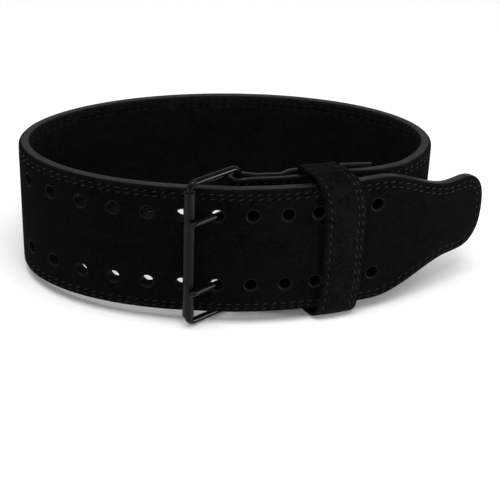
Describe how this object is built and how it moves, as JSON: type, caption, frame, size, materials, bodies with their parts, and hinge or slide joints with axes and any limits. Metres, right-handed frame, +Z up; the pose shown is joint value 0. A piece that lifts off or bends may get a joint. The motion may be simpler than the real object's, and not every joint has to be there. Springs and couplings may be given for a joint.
{
  "type": "weightlifting belt",
  "caption": "Wide thick leather lifting belt, buckled to an oval loop, with double prong roller buckle, keeper and rounded tongue.",
  "frame": {"origin": "middle of the footprint, on the surface that the belt lies on", "axes": "+Z up, +X along the loop's long axis towards the tongue's side, buckle and free end at -Y"},
  "size_m": [0.3526, 0.1858, 0.1201],
  "materials": {
    "suede_leather": "black suede, matt, with painted edges",
    "keeper_leather": "black suede, matt",
    "black_steel": "black oxide, satin",
    "nickel": "polished nickel"
  },
  "bodies": {
    "root": {"strap": "suede_leather", "buckle_frame": "black_steel", "buckle_roller": "black_steel", "prong_upper": "black_steel", "prong_lower": "black_steel", "keeper": "keeper_leather", "rivet_1_upper": "nickel", "rivet_1_middle": "nickel", "rivet_1_lower": "nickel", "rivet_2_upper": "nickel", "rivet_2_middle": "nickel", "rivet_2_lower": "nickel"}
  },
  "joints": []
}
